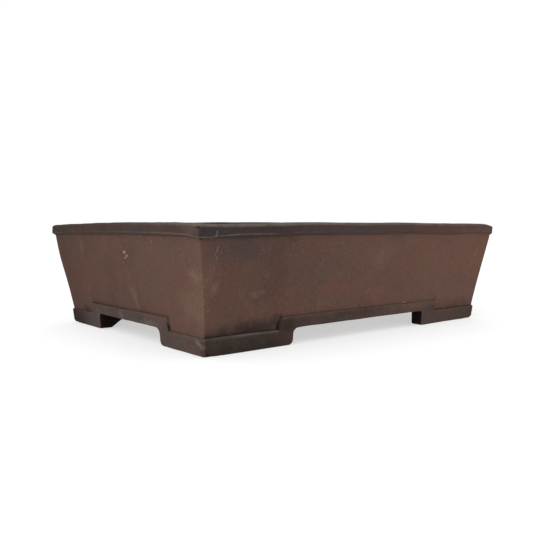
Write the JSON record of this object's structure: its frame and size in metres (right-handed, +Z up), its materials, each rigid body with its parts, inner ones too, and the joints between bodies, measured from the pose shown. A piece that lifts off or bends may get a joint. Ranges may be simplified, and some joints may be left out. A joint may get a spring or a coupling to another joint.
{
  "type": "bonsai pot",
  "caption": "Rectangular unglazed stoneware bonsai pot with outward-leaning walls, an overhanging rim, a stepped base band and L-shaped corner feet.",
  "frame": {"origin": "on the shelf, under the centre of the pot", "axes": "+X along the long side, +Y from front to back, +Z up"},
  "size_m": [0.38, 0.273, 0.101],
  "materials": {
    "wall_clay": "unglazed reduction-fired brown stoneware, fine sandy grain, matt",
    "rim_clay": "same clay, burnished and fired darker, slight sheen",
    "foot_clay": "same clay, burnished and fired darker, matt",
    "band_clay": "same clay, burnished and fired darker, matt",
    "floor_clay": "same clay, unburnished and gritty, matt",
    "seam_clay": "same clay, smoothed by finger, matt"
  },
  "bodies": {
    "root": {"front_wall": "wall_clay", "back_wall": "wall_clay", "left_wall": "wall_clay", "right_wall": "wall_clay", "front_rim_bar": "rim_clay", "back_rim_bar": "rim_clay", "left_rim_bar": "rim_clay", "right_rim_bar": "rim_clay", "front_left_foot": "foot_clay", "front_right_foot": "foot_clay", "back_left_foot": "foot_clay", "back_right_foot": "foot_clay", "front_band": "band_clay", "back_band": "band_clay", "left_band": "band_clay", "right_band": "band_clay", "floor_slab": "floor_clay", "front_floor_coil": "seam_clay", "back_floor_coil": "seam_clay", "left_floor_coil": "seam_clay", "right_floor_coil": "seam_clay", "front_left_corner_coil": "seam_clay", "front_right_corner_coil": "seam_clay", "back_left_corner_coil": "seam_clay", "back_right_corner_coil": "seam_clay"}
  },
  "joints": []
}
